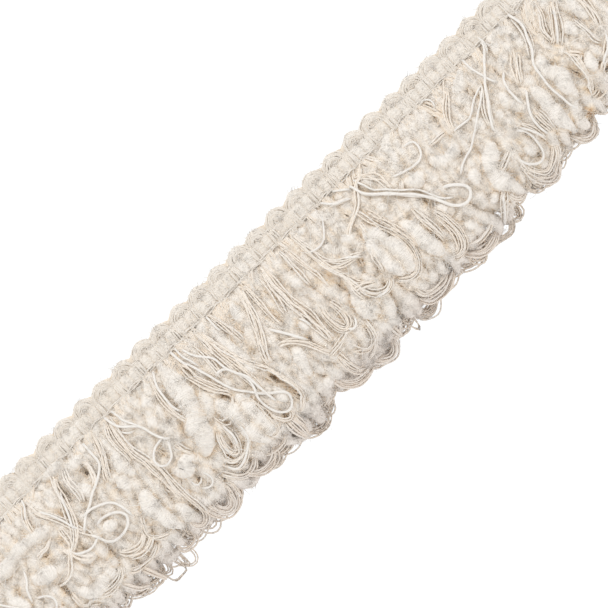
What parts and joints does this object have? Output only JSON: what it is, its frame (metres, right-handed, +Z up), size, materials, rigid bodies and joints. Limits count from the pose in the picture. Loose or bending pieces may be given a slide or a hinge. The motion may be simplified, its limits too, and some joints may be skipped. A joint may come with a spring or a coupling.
{
  "type": "chenille loop fringe trimming",
  "caption": "Cut length of thick looped fringe: a narrow crocheted heading with a scalloped edge, and a deep pile of chenille, fine yarn and cotton cord loops along its other edge.",
  "frame": {"origin": "on the surface that the trimming lies on, under the middle of its bounding box", "axes": "+X along the trimming, +Y across it from the loops towards the heading, +Z up from its flat back"},
  "size_m": [0.272, 0.0584, 0.0184],
  "materials": {
    "heading_yarn": "matte crocheted ivory yarn",
    "chenille": "soft fuzzy ivory pile",
    "skein_yarn": "slightly lustrous beige twisted yarn",
    "cotton_cord": "smooth white cotton"
  },
  "bodies": {
    "root": {"heading_braid": "heading_yarn", "chenille_loops_lower": "chenille", "chenille_loops_middle": "chenille", "chenille_loops_upper": "chenille", "yarn_skein_loops": "skein_yarn", "cotton_cord_loops": "cotton_cord"}
  },
  "joints": []
}
